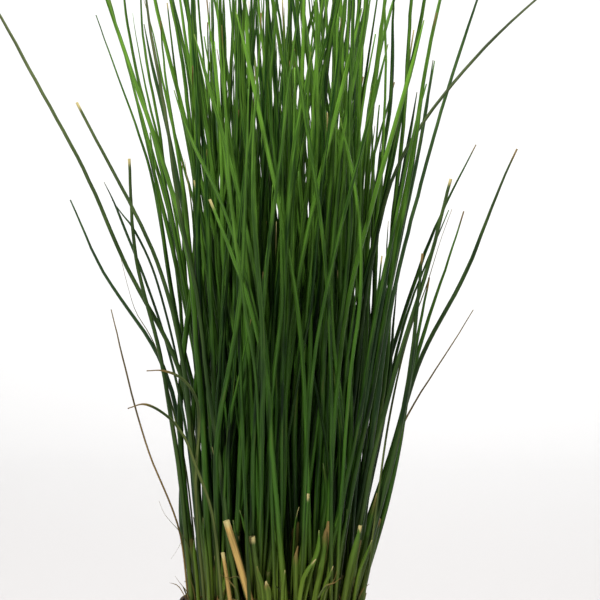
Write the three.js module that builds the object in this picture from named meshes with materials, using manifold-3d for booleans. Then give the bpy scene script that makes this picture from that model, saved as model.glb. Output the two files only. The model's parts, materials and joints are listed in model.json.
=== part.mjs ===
// A rush in a round plastic pot. A dense clump of round green stems grows from short crowns that stand
// on dark potting soil. Arching and dry stems ring its edge, and cut stubs stand at its foot.
// Millimetres, +Z up. The origin is the centre of the pot's flat underside, and the front faces -Y.
import * as THREE from "three";
import { mergeVertices } from "three/addons/utils/BufferGeometryUtils.js";
import Module from "manifold-3d";

// The pot, a plain tapered one with a banded rim and drain holes
const POT_HEIGHT = 96;
const POT_RIM_RADIUS = 56;
const POT_BASE_RADIUS = 41;
const POT_WALL = 1.8;
const RIM_BAND_HEIGHT = 11;
const RIM_BAND_PROUD = 2.2;
const RIM_ROUNDING = 1.2;
const FOOT_BEVEL = 1.5;
const POT_SIDES = 28;
const DRAIN_HOLES = 6;
const DRAIN_HOLE_RADIUS = 4;
const DRAIN_HOLE_SIDES = 8;
const DRAIN_RING_RADIUS = 29;

// The soil, heaped a little above the rim where the crowns stand
const FIT_GAP = 0.3;
const SOIL_TOP = 101.5;
const SOIL_EDGE = POT_HEIGHT - 2;
const SOIL_FLAT_RADIUS = 45;
const SOIL_SHOULDER_IN = 3;
const SOIL_SHOULDER_UP = 3.5;
const SOIL_EDGE_IN = 0.5;
const SOIL_SIDES = 26;

// The tufts, each a crown with the stems that grow from it
const TUFTS = 22;
const STEMS_PER_TUFT = 7;
const TUFT_AREA_RADIUS = 37;
const CROWN_RADIUS = 6.4;
const CROWN_TOP_RADIUS = 6.3;
const CROWN_HEIGHT = 5;
const CROWN_SIDES = 8;
const STEM_CIRCLE_RADIUS = 3.95;
const STEM_START_IN_CROWN = 1;
const STUB_EVERY = 3;

// How the stems grow
const FOOT_Z = SOIL_TOP + FIT_GAP;
const CLUMP_RADIUS = 43;
const FULL_RISE = 300;
const OUTWARD_LEAN = 0.076;
const OUTWARD_BOW = 8;
const TUFT_LEAN_SCATTER = 0.04;
const STEM_LEAN_SCATTER = 0.085;
const STRAY_LEAN_SCATTER = 0.18;
const BOW_SCATTER = 22;
const CROOK = 2.2;
const SCATTER_REACH = 1.6;
const DRIFT_RIGHT = 7;
const DRIFT_RISE = 70;
const TALL_SHARE = 0.54;
const TALL_TIPS = [412, 500];
const SHORT_TIPS = [265, 400];
const FOOT_DIAMETERS = [2.8, 3.4];
const THINNING = 0.28;
const TIP_RADIUS = 0.4;
const TIP_TAPER = 0.013;
const TUFT_RING_RISES = [75, 180, 290];
const TUFT_STEM_SIDES = 4;
const SINGLE_RING_RISES = [35, 75, 120, 170, 225, 275];
const SINGLE_STEM_SIDES = 5;
const SHORTEST_TOP_STEP = 26;
const STUB_TIPS = [112, 150];

// How stems keep clear of each other
const CLEARANCE = 0.45;
const FARTHEST_TOUCH = 7;
const SEPARATION_ROUNDS = 150;
const TUFT_STEM_LOOSENESS = 1;
const SINGLE_STEM_LOOSENESS = 0.4;
const LEAF_KEEP_OUT = 0.4;
const LEAF_KEEP_OUT_RISE = 2;
const SEED = 7;

const GREEN = { color: 0x3f6b2a, roughness: 0.55 };
const DARK_GREEN = { color: 0x2f5526, roughness: 0.55 };
const OLIVE = { color: 0x7d7f45, roughness: 0.65 };
const STRAW = { color: 0xb8a066, roughness: 0.75 };
const DRY_BROWN = { color: 0x8a6238, roughness: 0.8 };
const POT_BLACK = { color: 0x1d1e1f, roughness: 0.6 };
const SOIL_BROWN = { color: 0x2b2119, roughness: 0.95 };

// Stems that are seen one by one. A foot is [x, y] on the soil, a way point is [x, z] as seen from the
// front, and a tip is [x, y, z]. Width is the diameter at the foot, and tip the diameter at the end.
const SINGLE_STEMS = [
  // The left edge, from the outermost arch inwards
  { name: "long_arching_stem_left", foot: [-33, -12], ways: [[-40, 185], [-52, 232], [-73, 272], [-104, 343]],
    end: [-147, -34, 414], width: 3.0, tip: 1.4, look: OLIVE },
  { name: "blunt_arching_stem_left", foot: [-30, -22], ways: [[-52, 258], [-70, 305]],
    end: [-94, -42, 349], width: 2.9, tip: 1.9, look: OLIVE },
  { name: "drooping_stem_left", foot: [-38, -3],
    ways: [[-46, 190], [-54, 218], [-66, 235], [-78, 251], [-92, 282]],
    end: [-100, -16, 302], width: 2.7, tip: 1.0, look: DARK_GREEN },
  { name: "thin_stem_left", foot: [-27, 10], ways: [[-50, 260], [-61, 310], [-74, 361]],
    end: [-90, 14, 395], width: 2.3, tip: 0.8, look: GREEN },
  { name: "broad_stem_left", foot: [-30, -30], ways: [[-42, 285], [-54, 328], [-67, 360]],
    end: [-93, -50, 434], width: 3.7, tip: 1.4, look: GREEN },
  { name: "upright_stem_left", foot: [-35, 15], ways: [[-56, 330], [-60, 351], [-65, 371]],
    end: [-69, 32, 428], width: 2.6, tip: 0.8, look: GREEN },
  { name: "brownish_stem_left", foot: [-16, -36], ways: [[-47, 320], [-53, 357]],
    end: [-64, -54, 430], width: 2.8, tip: 0.8, look: OLIVE },
  { name: "short_stem_left", foot: [-40, -16], ways: [[-50, 205], [-66, 270], [-72, 302]],
    end: [-70, -32, 322], width: 2.7, tip: 1.9, look: OLIVE },
  { name: "dry_wisp_left", foot: [-42, -9],
    ways: [[-45, 132], [-51, 147], [-60, 169], [-67, 202], [-74, 227]],
    end: [-79, -18, 248], width: 1.3, tip: 0.7, look: STRAW },
  // The right edge, from the highest arch down
  { name: "long_arching_stem_right", foot: [25, -12], ways: [[47, 250], [58, 310], [76, 346], [99, 372]],
    end: [143, -26, 413], width: 2.8, tip: 1.2, look: OLIVE },
  { name: "tall_stem_right", foot: [35, -5], ways: [[62, 260], [77, 324], [93, 378]],
    end: [108, -12, 424], width: 3.0, tip: 1.0, look: DARK_GREEN },
  { name: "arching_stem_right", foot: [38, 7], ways: [[60, 225], [77, 274], [88, 302]],
    end: [103, 18, 330], width: 2.8, tip: 0.8, look: GREEN },
  { name: "outer_arching_stem_right", foot: [41, -6], ways: [[55, 160], [68, 210], [89, 255], [109, 293]],
    end: [121, -20, 327], width: 3.0, tip: 1.2, look: OLIVE },
  { name: "blunt_stem_right", foot: [35, -23], ways: [[59, 215], [76, 272]],
    end: [85, -46, 312], width: 2.9, tip: 2.0, look: OLIVE },
  { name: "thin_stem_right", foot: [37, 17], ways: [[60, 215], [81, 274]],
    end: [90, 32, 297], width: 2.2, tip: 0.7, look: GREEN },
  { name: "dry_wisp_right", foot: [43, 2], ways: [[58, 165], [66, 200], [76, 221], [93, 240]],
    end: [101, 4, 247], width: 1.6, tip: 0.6, look: STRAW },
  { name: "short_stem_right", foot: [42, -12], ways: [[54, 144], [62, 178], [71, 225], [76, 249]],
    end: [77, -30, 264], width: 2.9, tip: 1.2, look: GREEN },
  { name: "upright_stem_right", foot: [39, -20], ways: [[51, 144], [60, 178], [67, 219], [72, 257]],
    end: [72, -44, 276], width: 3.0, tip: 1.5, look: OLIVE },
  { name: "high_stem_right_front", foot: [29, -28], ways: [[44, 190], [62, 290]],
    end: [80, -56, 391], width: 3.1, tip: 1.0, look: GREEN },
  { name: "high_stem_right_back", foot: [32, 22], ways: [[46, 190], [64, 280]],
    end: [84, 48, 374], width: 3.0, tip: 0.9, look: GREEN },
  { name: "high_stem_right_inner", foot: [24, -33], ways: [[40, 190], [56, 280]],
    end: [75, -60, 357], width: 2.9, tip: 0.9, look: GREEN },
  // The front, and the arching stems that lean away at the back
  { name: "bright_stem_front", foot: [6, -41], ways: [[-3, 216], [-12, 252], [-23, 288]],
    end: [-30, -74, 302], width: 3.3, tip: 1.6, look: GREEN },
  { name: "arching_stem_front", foot: [-10, -35], ways: [[-6, 220], [4, 330]],
    end: [17, -104, 405], width: 3.0, tip: 0.9, look: GREEN },
  { name: "arching_stem_back_left", foot: [-20, 36], ways: [[-26, 220], [-36, 320]],
    end: [-48, 118, 388], width: 2.9, tip: 0.9, look: GREEN },
  { name: "arching_stem_back", foot: [4, 41], ways: [[9, 210], [16, 300]],
    end: [24, 106, 352], width: 2.8, tip: 0.8, look: OLIVE },
  { name: "long_arching_stem_back", foot: [22, 34], ways: [[30, 220], [42, 340]],
    end: [52, 128, 426], width: 2.9, tip: 0.9, look: GREEN },
  // The cut and dead stubs that stand apart at the foot
  { name: "straw_stub", foot: [-9, -43], ways: [[-16, 119]],
    end: [-22, -48, 147], width: 3.7, tip: 3.2, look: STRAW },
  { name: "olive_stub", foot: [-4, -38], ways: [],
    end: [-9, -44, 139], width: 3.4, tip: 3.0, look: OLIVE },
  { name: "green_stub", foot: [14, -41], ways: [],
    end: [17, -46, 160], width: 3.4, tip: 1.8, look: GREEN },
  { name: "orange_stub", foot: [20, -38], ways: [[24, 127]],
    end: [28, -44, 146], width: 3.0, tip: 2.6, look: STRAW },
  { name: "light_stub", foot: [36, -29], ways: [],
    end: [43, -35, 143], width: 3.2, tip: 1.8, look: GREEN },
  { name: "flat_cut_stub_right", foot: [43, -18], ways: [[47, 119]],
    end: [52, -22, 145], width: 3.4, tip: 3.2, look: OLIVE },
  { name: "yellow_stub_left", foot: [-20, -40], ways: [[-20, 112]],
    end: [-25, -43, 131], width: 2.4, tip: 1.8, look: STRAW },
];

// Dead leaves that bend over: their routes as [x, y, z] from the soil to the tip.
const BENT_LEAVES = [
  { name: "level_dry_leaf", width: 1.8, look: DRY_BROWN,
    route: [[-33, -27], [-37, -44, 160], [-36, -52, 205], [-43, -54, 216], [-52, -55, 220],
      [-60, -56, 220]] },
  { name: "curled_dry_leaf", width: 2.0, look: DRY_BROWN,
    route: [[-24, -38], [-29, -46, 150], [-37, -52, 175], [-42, -54, 188], [-50, -55, 198], [-61, -56, 204],
      [-69, -57, 202]] },
];
const BENT_LEAF_SIDES = 5;
const BENT_LEAF_STEPS = 10;
const CURVE_SAMPLES = 60;

// A small seeded generator, so that the same clump grows each time.
function seededRandom(seed) {
  let state = seed >>> 0;
  return () => {
    state = (state + 0x6d2b79f5) >>> 0;
    let mixed = Math.imul(state ^ (state >>> 15), state | 1);
    mixed ^= mixed + Math.imul(mixed ^ (mixed >>> 7), mixed | 61);
    return ((mixed ^ (mixed >>> 14)) >>> 0) / 2 ** 32;
  };
}
const random = seededRandom(SEED);
const between = ([low, high]) => low + (high - low) * random();
const scatter = (size) => size * (random() + random() - 1) * SCATTER_REACH;

// The tufts stand evenly over a round area, each turned from the last by the golden angle.
const GOLDEN_ANGLE = Math.PI * (3 - Math.sqrt(5));

function tuftCentres() {
  return Array.from({ length: TUFTS }, (_, i) => {
    const reach = TUFT_AREA_RADIUS * Math.sqrt((i + 0.5) / TUFTS);
    return new THREE.Vector2(Math.cos(i * GOLDEN_ANGLE), Math.sin(i * GOLDEN_ANGLE)).multiplyScalar(reach);
  });
}

// Heights at which a stem has a ring: the foot, the rises that it passes, and its own tip.
function ringHeights(rises, tipZ) {
  const passed = rises.map((rise) => FOOT_Z + rise).filter((z) => z < tipZ - SHORTEST_TOP_STEP);
  return [FOOT_Z, ...passed, tipZ];
}

function radiusAt(footRadius, tipRadius, tipZ, z) {
  const body = footRadius * (1 - (THINNING * (z - FOOT_Z)) / FULL_RISE);
  return Math.min(body, tipRadius + (tipZ - z) * TIP_TAPER);
}

// A stem's points are {x, y, z, radius} at rising heights. A looser stem gives way more when two touch.
function tuftStem(tuft, foot, tuftLean, leanScatter, tipZ) {
  const outward = foot.clone().divideScalar(CLUMP_RADIUS);
  const lean = outward.clone().multiplyScalar(OUTWARD_LEAN).add(tuftLean);
  lean.x += scatter(leanScatter);
  lean.y += scatter(leanScatter);
  const bow = outward.clone().multiplyScalar(OUTWARD_BOW);
  bow.x += scatter(BOW_SCATTER);
  bow.y += scatter(BOW_SCATTER);
  const footRadius = between(FOOT_DIAMETERS) / 2;
  const points = ringHeights(TUFT_RING_RISES, tipZ).map((z) => {
    const rise = z - FOOT_Z;
    const bend = (rise / FULL_RISE) ** 2;
    const drift = (DRIFT_RIGHT * rise) / (rise + DRIFT_RISE);
    return {
      x: foot.x + lean.x * rise + bow.x * bend + drift + (rise > 0 ? scatter(CROOK) : 0),
      y: foot.y + lean.y * rise + bow.y * bend + (rise > 0 ? scatter(CROOK) : 0),
      z,
      radius: radiusAt(footRadius, TIP_RADIUS, tipZ, z),
    };
  });
  return { tuft, points, looseness: TUFT_STEM_LOOSENESS, fixedFoot: true };
}

function growTuft(centre, tuft) {
  const lean = new THREE.Vector2(scatter(TUFT_LEAN_SCATTER), scatter(TUFT_LEAN_SCATTER));
  const turn = random() * Math.PI;
  const around = STEMS_PER_TUFT - 1;
  return Array.from({ length: STEMS_PER_TUFT }, (_, i) => {
    const angle = turn + (i * 2 * Math.PI) / around;
    const offset = new THREE.Vector2(Math.cos(angle), Math.sin(angle)).multiplyScalar(STEM_CIRCLE_RADIUS);
    const foot = i === around ? centre.clone() : centre.clone().add(offset);
    const tall = random() < TALL_SHARE;
    const isStub = i === 0 && tuft % STUB_EVERY === 0;
    const tipZ = between(isStub ? STUB_TIPS : tall ? TALL_TIPS : SHORT_TIPS);
    return tuftStem(tuft, foot, lean, i === 1 ? STRAY_LEAN_SCATTER : STEM_LEAN_SCATTER, tipZ);
  });
}

// A single stem follows a smooth curve through its hand-set points, its depth changing evenly.
function singleStem({ name, foot, ways, end, width, tip, look }) {
  const [endX, endY, endZ] = end;
  const depthAt = (z) => foot[1] + ((endY - foot[1]) * (z - FOOT_Z)) / (endZ - FOOT_Z);
  const route = new THREE.CatmullRomCurve3([
    new THREE.Vector3(foot[0], foot[1], FOOT_Z),
    ...ways.map(([x, z]) => new THREE.Vector3(x, depthAt(z), z)),
    new THREE.Vector3(endX, endY, endZ),
  ]).getPoints(CURVE_SAMPLES);
  const points = ringHeights(SINGLE_RING_RISES, endZ).map((z) => {
    const next = Math.max(1, route.findIndex((p) => p.z >= z - 1e-6));
    const below = route[next - 1];
    const above = route[next];
    const share = THREE.MathUtils.clamp((z - below.z) / (above.z - below.z), 0, 1);
    const spot = below.clone().lerp(above, share);
    return { x: spot.x, y: spot.y, z, radius: radiusAt(width / 2, tip / 2, endZ, z) };
  });
  return { name, look, points, looseness: SINGLE_STEM_LOOSENESS, fixedFoot: false };
}

// Where a stem is at a height between its points i and i + 1
function onSegment({ points }, i, z) {
  const low = points[i];
  const high = points[i + 1];
  const share = (z - low.z) / (high.z - low.z);
  const slope = Math.hypot(high.x - low.x, high.y - low.y) / (high.z - low.z);
  return {
    share,
    x: low.x + (high.x - low.x) * share,
    y: low.y + (high.y - low.y) * share,
    reach: (low.radius + (high.radius - low.radius) * share) * Math.hypot(1, slope),
  };
}

// The two points of a segment, each with how much it moves for a push at that share of the segment
function movable(stem, i, share, sign) {
  const freedom = (k) => (k === 0 && stem.fixedFoot ? 0 : stem.looseness);
  return [
    { point: stem.points[i], weight: sign * (1 - share), freedom: freedom(i) },
    { point: stem.points[i + 1], weight: sign * share, freedom: freedom(i + 1) },
  ];
}

function push(ends, away, missing) {
  const total = ends.reduce((sum, e) => sum + e.freedom * e.weight ** 2, 0);
  if (total < 1e-6) return;
  for (const { point, weight, freedom } of ends) {
    const step = (missing * freedom * weight) / total;
    point.x += away.x * step;
    point.y += away.y * step;
  }
}

// Pushes two straight stretches apart where they pass closest between two heights.
function separateStretch(a, i, b, j, low, high) {
  const startA = onSegment(a, i, low);
  const startB = onSegment(b, j, low);
  const endA = onSegment(a, i, high);
  const endB = onSegment(b, j, high);
  const fromX = startB.x - startA.x;
  const fromY = startB.y - startA.y;
  const changeX = endB.x - endA.x - fromX;
  const changeY = endB.y - endA.y - fromY;
  const span = changeX ** 2 + changeY ** 2;
  const nearest = span < 1e-9 ? 0 : -(fromX * changeX + fromY * changeY) / span;
  const share = Math.min(1, Math.max(0, nearest));
  const apartX = fromX + changeX * share;
  const apartY = fromY + changeY * share;
  const distance = Math.hypot(apartX, apartY);
  if (distance > FARTHEST_TOUCH) return;
  const z = low + (high - low) * share;
  const atA = onSegment(a, i, z);
  const atB = onSegment(b, j, z);
  const missing = atA.reach + atB.reach + CLEARANCE - distance;
  if (missing <= 0) return;
  const away = distance < 1e-6 ? { x: 0, y: 1 } : { x: apartX / distance, y: apartY / distance };
  push([...movable(a, i, atA.share, -1), ...movable(b, j, atB.share, 1)], away, missing);
}

function separatePair(a, b) {
  let i = 0;
  let j = 0;
  while (i < a.points.length - 1 && j < b.points.length - 1) {
    const low = Math.max(a.points[i].z, b.points[j].z);
    const high = Math.min(a.points[i + 1].z, b.points[j + 1].z);
    if (high > low) separateStretch(a, i, b, j, low, high);
    if (a.points[i + 1].z < b.points[j + 1].z) i++;
    else j++;
  }
}

// Pushes a stem sideways out of a round keep-out space that reaches from one height to another.
function keepOut(stem, { x, y, low, high, radius }) {
  const { points } = stem;
  for (let i = 0; i < points.length - 1; i++) {
    const z = THREE.MathUtils.clamp((low + high) / 2, points[i].z, points[i + 1].z);
    if (z < low || z > high) continue;
    const at = onSegment(stem, i, z);
    const away = new THREE.Vector2(at.x - x, at.y - y);
    const missing = at.reach + radius + CLEARANCE - away.length();
    if (missing > 0) push(movable(stem, i, at.share, 1), away.normalize(), missing);
  }
}

const centres = tuftCentres();
const tuftStems = centres.flatMap(growTuft);
const singleStems = SINGLE_STEMS.map(singleStem);
const allStems = [...tuftStems, ...singleStems];
const bentRoutes = BENT_LEAVES.map(({ route }) =>
  new THREE.CatmullRomCurve3(route.map(([x, y, z = FOOT_Z]) => new THREE.Vector3(x, y, z))));
const crownSpaces = centres.map(({ x, y }) =>
  ({ x, y, low: SOIL_TOP, high: FOOT_Z + CROWN_HEIGHT, radius: CROWN_RADIUS }));
const leafSpaces = bentRoutes.flatMap((curve, k) =>
  curve.getPoints(CURVE_SAMPLES).map(({ x, y, z }) => {
    const radius = BENT_LEAVES[k].width / 2 + LEAF_KEEP_OUT;
    return { x, y, low: z - LEAF_KEEP_OUT_RISE, high: z + LEAF_KEEP_OUT_RISE, radius };
  }));

for (let round = 0; round < SEPARATION_ROUNDS; round++) {
  for (let i = 0; i < allStems.length; i++) {
    for (let j = i + 1; j < allStems.length; j++) separatePair(allStems[i], allStems[j]);
  }
  singleStems.forEach((stem) => crownSpaces.forEach((space) => keepOut(stem, space)));
  allStems.forEach((stem) => leafSpaces.forEach((space) => keepOut(stem, space)));
}

const wasm = await Module();
wasm.setup();

function toSolid(geometry) {
  const bare = new THREE.BufferGeometry();
  bare.setAttribute("position", geometry.getAttribute("position"));
  bare.setIndex(geometry.getIndex());
  const merged = mergeVertices(bare, 1e-4);
  return new wasm.Manifold(new wasm.Mesh({
    numProp: 3,
    vertProperties: merged.attributes.position.array,
    triVerts: new Uint32Array(merged.index.array),
  }));
}

function toGeometry(solid) {
  const { vertProperties, triVerts } = solid.getMesh();
  const geometry = new THREE.BufferGeometry();
  geometry.setAttribute("position", new THREE.BufferAttribute(vertProperties, 3));
  geometry.setIndex(new THREE.BufferAttribute(triVerts, 1));
  geometry.computeVertexNormals();
  return geometry;
}

// A closed tube through level rings. A ring is stretched along the lean, so that the stem keeps its
// thickness where it leans.
function stemGeometry(points, sides) {
  const positions = [];
  points.forEach(({ x, y, z, radius }, k) => {
    const before = points[Math.max(0, k - 1)];
    const after = points[Math.min(points.length - 1, k + 1)];
    const slopeX = (after.x - before.x) / (after.z - before.z);
    const slopeY = (after.y - before.y) / (after.z - before.z);
    const slope = Math.hypot(slopeX, slopeY);
    const heading = Math.atan2(slopeY, slopeX);
    for (let s = 0; s < sides; s++) {
      const angle = (s * 2 * Math.PI) / sides - heading;
      const along = radius * Math.cos(angle) * Math.hypot(1, slope);
      const across = radius * Math.sin(angle);
      positions.push(
        x + along * Math.cos(heading) - across * Math.sin(heading),
        y + along * Math.sin(heading) + across * Math.cos(heading),
        z,
      );
    }
  });
  const faces = [];
  const top = (points.length - 1) * sides;
  for (let s = 0; s < sides; s++) {
    const next = (s + 1) % sides;
    for (let start = 0; start < top; start += sides) {
      faces.push(start + s, start + next, start + sides + next);
      faces.push(start + s, start + sides + next, start + sides + s);
    }
  }
  for (let s = 1; s < sides - 1; s++) {
    faces.push(0, s + 1, s);
    faces.push(top, top + s, top + s + 1);
  }
  const geometry = new THREE.BufferGeometry();
  geometry.setAttribute("position", new THREE.Float32BufferAttribute(positions, 3));
  geometry.setIndex(faces);
  geometry.computeVertexNormals();
  return geometry;
}

// A crown is a low tapered knot of root, and its stems start inside it.
function tuftGeometry(tuft) {
  const crown = new THREE.CylinderGeometry(CROWN_TOP_RADIUS, CROWN_RADIUS, CROWN_HEIGHT, CROWN_SIDES, 1);
  crown.rotateX(Math.PI / 2);
  crown.translate(centres[tuft].x, centres[tuft].y, FOOT_Z + CROWN_HEIGHT / 2);
  const stems = tuftStems.filter((stem) => stem.tuft === tuft);
  const startZ = FOOT_Z + STEM_START_IN_CROWN;
  return toGeometry(stems.reduce((solid, { points }) => {
    const { x, y } = onSegment({ points }, 0, startZ);
    const start = { ...points[0], x, y, z: startZ };
    return solid.add(toSolid(stemGeometry([start, ...points.slice(1)], TUFT_STEM_SIDES)));
  }, toSolid(crown)));
}

function bentLeafGeometry(curve, width) {
  const section = new THREE.Shape();
  for (let s = 0; s < BENT_LEAF_SIDES; s++) {
    const angle = (s * 2 * Math.PI) / BENT_LEAF_SIDES;
    const spot = [Math.cos(angle) * width / 2, Math.sin(angle) * width / 2];
    if (s === 0) section.moveTo(...spot);
    else section.lineTo(...spot);
  }
  section.closePath();
  return new THREE.ExtrudeGeometry(section, { steps: BENT_LEAF_STEPS, extrudePath: curve });
}

// The pot's profile runs from the centre of the underside, up the outside, over the rim and down inside.
function potGeometry() {
  const underBand = POT_RIM_RADIUS - RIM_BAND_PROUD;
  const innerTop = underBand - POT_WALL;
  const bandFoot = POT_HEIGHT - RIM_BAND_HEIGHT;
  const profile = [
    [0, 0], [POT_BASE_RADIUS - FOOT_BEVEL, 0], [POT_BASE_RADIUS, FOOT_BEVEL],
    [underBand, bandFoot], [POT_RIM_RADIUS - RIM_ROUNDING / 2, bandFoot],
    [POT_RIM_RADIUS, POT_HEIGHT - RIM_ROUNDING], [POT_RIM_RADIUS - RIM_ROUNDING, POT_HEIGHT],
    [innerTop + RIM_ROUNDING, POT_HEIGHT], [innerTop, POT_HEIGHT - RIM_ROUNDING],
    [POT_BASE_RADIUS - POT_WALL, POT_WALL], [0, POT_WALL],
  ].map(([r, z]) => new THREE.Vector2(r, z));
  const shell = new THREE.LatheGeometry(profile, POT_SIDES);
  shell.rotateX(Math.PI / 2);
  let solid = toSolid(shell);
  for (let i = 0; i < DRAIN_HOLES; i++) {
    const angle = (i * 2 * Math.PI) / DRAIN_HOLES;
    const depth = 4 * POT_WALL;
    const hole = new THREE.CylinderGeometry(DRAIN_HOLE_RADIUS, DRAIN_HOLE_RADIUS, depth, DRAIN_HOLE_SIDES);
    hole.rotateX(Math.PI / 2);
    hole.translate(DRAIN_RING_RADIUS * Math.cos(angle), DRAIN_RING_RADIUS * Math.sin(angle), 0);
    solid = solid.subtract(toSolid(hole));
  }
  return toGeometry(solid);
}

// The soil fills the pot, and its sloping shoulder rises to the flat top where the crowns stand.
function soilGeometry() {
  const innerTop = POT_RIM_RADIUS - RIM_BAND_PROUD - POT_WALL - FIT_GAP;
  const innerBase = POT_BASE_RADIUS - POT_WALL - FIT_GAP;
  const floor = POT_WALL + FIT_GAP;
  const profile = [
    [0, floor], [innerBase, floor], [innerTop - SOIL_EDGE_IN, SOIL_EDGE],
    [innerTop - SOIL_SHOULDER_IN, SOIL_EDGE + SOIL_SHOULDER_UP], [SOIL_FLAT_RADIUS, SOIL_TOP], [0, SOIL_TOP],
  ].map(([r, z]) => new THREE.Vector2(r, z));
  const soil = new THREE.LatheGeometry(profile, SOIL_SIDES);
  soil.rotateX(Math.PI / 2);
  return toGeometry(toSolid(soil));
}

function piece(name, geometry, look) {
  const material = new THREE.MeshStandardMaterial({ metalness: 0, ...look });
  const mesh = new THREE.Mesh(geometry, material);
  mesh.name = name;
  return mesh;
}

const plant = new THREE.Group();
plant.add(piece("pot", potGeometry(), POT_BLACK));
plant.add(piece("soil", soilGeometry(), SOIL_BROWN));
centres.forEach((_, tuft) => {
  plant.add(piece("tuft_" + String(tuft + 1).padStart(2, "0"), tuftGeometry(tuft), GREEN));
});
singleStems.forEach(({ name, points, look }) => {
  plant.add(piece(name, stemGeometry(points, SINGLE_STEM_SIDES), look));
});
BENT_LEAVES.forEach(({ name, width, look }, k) => {
  plant.add(piece(name, bentLeafGeometry(bentRoutes[k], width), look));
});

export default plant;
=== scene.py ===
import json
import math
import random

import bmesh
import bpy
import numpy as np
from mathutils import Matrix, Vector, noise


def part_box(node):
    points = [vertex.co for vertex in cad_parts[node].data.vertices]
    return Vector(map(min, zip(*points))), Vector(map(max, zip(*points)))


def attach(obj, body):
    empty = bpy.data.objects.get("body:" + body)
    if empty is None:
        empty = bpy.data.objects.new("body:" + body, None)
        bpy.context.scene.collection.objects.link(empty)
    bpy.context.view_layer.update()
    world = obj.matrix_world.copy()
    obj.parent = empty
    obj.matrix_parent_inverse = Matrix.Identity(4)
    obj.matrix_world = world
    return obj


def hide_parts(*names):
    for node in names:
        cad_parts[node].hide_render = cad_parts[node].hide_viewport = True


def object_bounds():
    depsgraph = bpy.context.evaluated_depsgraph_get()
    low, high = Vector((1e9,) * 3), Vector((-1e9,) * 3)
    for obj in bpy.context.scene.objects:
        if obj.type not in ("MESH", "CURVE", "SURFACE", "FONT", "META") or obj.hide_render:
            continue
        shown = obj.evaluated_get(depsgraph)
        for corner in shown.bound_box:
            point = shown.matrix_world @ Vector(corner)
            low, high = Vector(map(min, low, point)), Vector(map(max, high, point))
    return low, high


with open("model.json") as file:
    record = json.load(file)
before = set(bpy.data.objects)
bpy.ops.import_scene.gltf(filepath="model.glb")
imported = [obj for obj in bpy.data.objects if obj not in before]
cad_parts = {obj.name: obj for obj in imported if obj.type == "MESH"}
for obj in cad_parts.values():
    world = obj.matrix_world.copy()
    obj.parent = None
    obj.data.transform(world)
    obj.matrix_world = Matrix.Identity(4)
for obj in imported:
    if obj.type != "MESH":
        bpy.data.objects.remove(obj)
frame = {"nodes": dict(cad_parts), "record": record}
cad_low, cad_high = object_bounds()

# The photograph's frame
PHOTO_PIXELS = 600
METRES_PER_PIXEL = 0.0005
VIEW_CENTRE = Vector((0.0135, 0.0, 0.252))
CAMERA_DISTANCE = 1.3
CAMERA_ELEVATION = math.radians(2)
SENSOR_WIDTH = 36.0
VIEW_BACK = Vector((0.0, -math.cos(CAMERA_ELEVATION), math.sin(CAMERA_ELEVATION)))
VIEW_UP = Vector((0.0, math.sin(CAMERA_ELEVATION), math.cos(CAMERA_ELEVATION)))
CAMERA_PLACE = VIEW_CENTRE + VIEW_BACK * CAMERA_DISTANCE

# Reading the stems from the solids
CROWN_NODE_PREFIX = "tuft_"
RING_MATCH = 2e-5
CROWN_HEIGHT = 0.005
CROWN_MARGIN = 0.0003
BELOW_ALL = -1.0
FOOT_GROWTH = 1.06

# The stems. A rise is a height above the stem's foot. A pair of numbers is the least and the most, or where
# a change starts and ends.
STEM_SIDES = 8
SINGLE_SIDES = 10
STEM_STEP = 0.006
STEM_LEAST_POINTS = 3
SOIL_DEPTH = 0.002
STUB_HEIGHT = 0.06
CROOK_REACH = 0.0010
CROOK_RISE = (0.02, 0.11)
CROOK_WAVES = ((0.09, 0.14), (0.17, 0.30))
CROOK_SHORT_WAVE = 0.6
KINK = 0.00007
UPPER_TAPER = 0.22
UPPER_TAPER_RISE = (0.12, 0.32)
SKIN_REPEAT = 0.03
SKIN_GAP = 9.0
SIDE_LIFT = 0.1
UV_GUTTER = 0.04
UV_MARGIN = 0.002
CURVE_STEPS = 24

# Fine young stems that fill each tuft between the main ones
YOUNG_STEMS = 9
YOUNG_TRIES = 6
YOUNG_WIDTH = (0.42, 0.78)
YOUNG_SIDES = 6
YOUNG_LEAST_POINTS = 8
YOUNG_LEAST_PARENT = 0.1
YOUNG_PLACE = (0.2, 0.8)
YOUNG_LEAN = 0.10
YOUNG_LEAN_RISE = 0.15
YOUNG_INWARD = 0.7
YOUNG_LOWEST_TIP = 0.13
YOUNG_TIP_BELOW = 0.004
YOUNG_TIP_SPREAD = 0.08
YOUNG_TIP_LENGTH = 0.06
YOUNG_TIP_WIDTH = 0.16
YOUNG_SHEATH_SHARE = 0.3
GRID_STEP = 0.008
ROOMY = 0.0024
FAR_AWAY = 1.0

# Sheaths, the short papery leaves round a stem's foot
SHEATH_SHARE = 0.8
SHEATH_RISE = (0.012, 0.052)
SHEATH_LEAST_POINTS = 3
SHEATH_GROWTH = (1.17, 1.09)
SHEATH_POINT = (0.004, 0.011)
BROWN_SHEATH_SHARE = 0.25

soil_low, soil_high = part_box("soil")
pot_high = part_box("pot")[1]
FOOT_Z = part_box("long_arching_stem_left")[0].z
CROWN_TOP = FOOT_Z + CROWN_HEIGHT
UNDER_SOIL = soil_high.z - SOIL_DEPTH
MM_PER_METRE = 1000
UP = np.array([0.0, 0.0, 1.0])

dice = random.Random(5)


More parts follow.
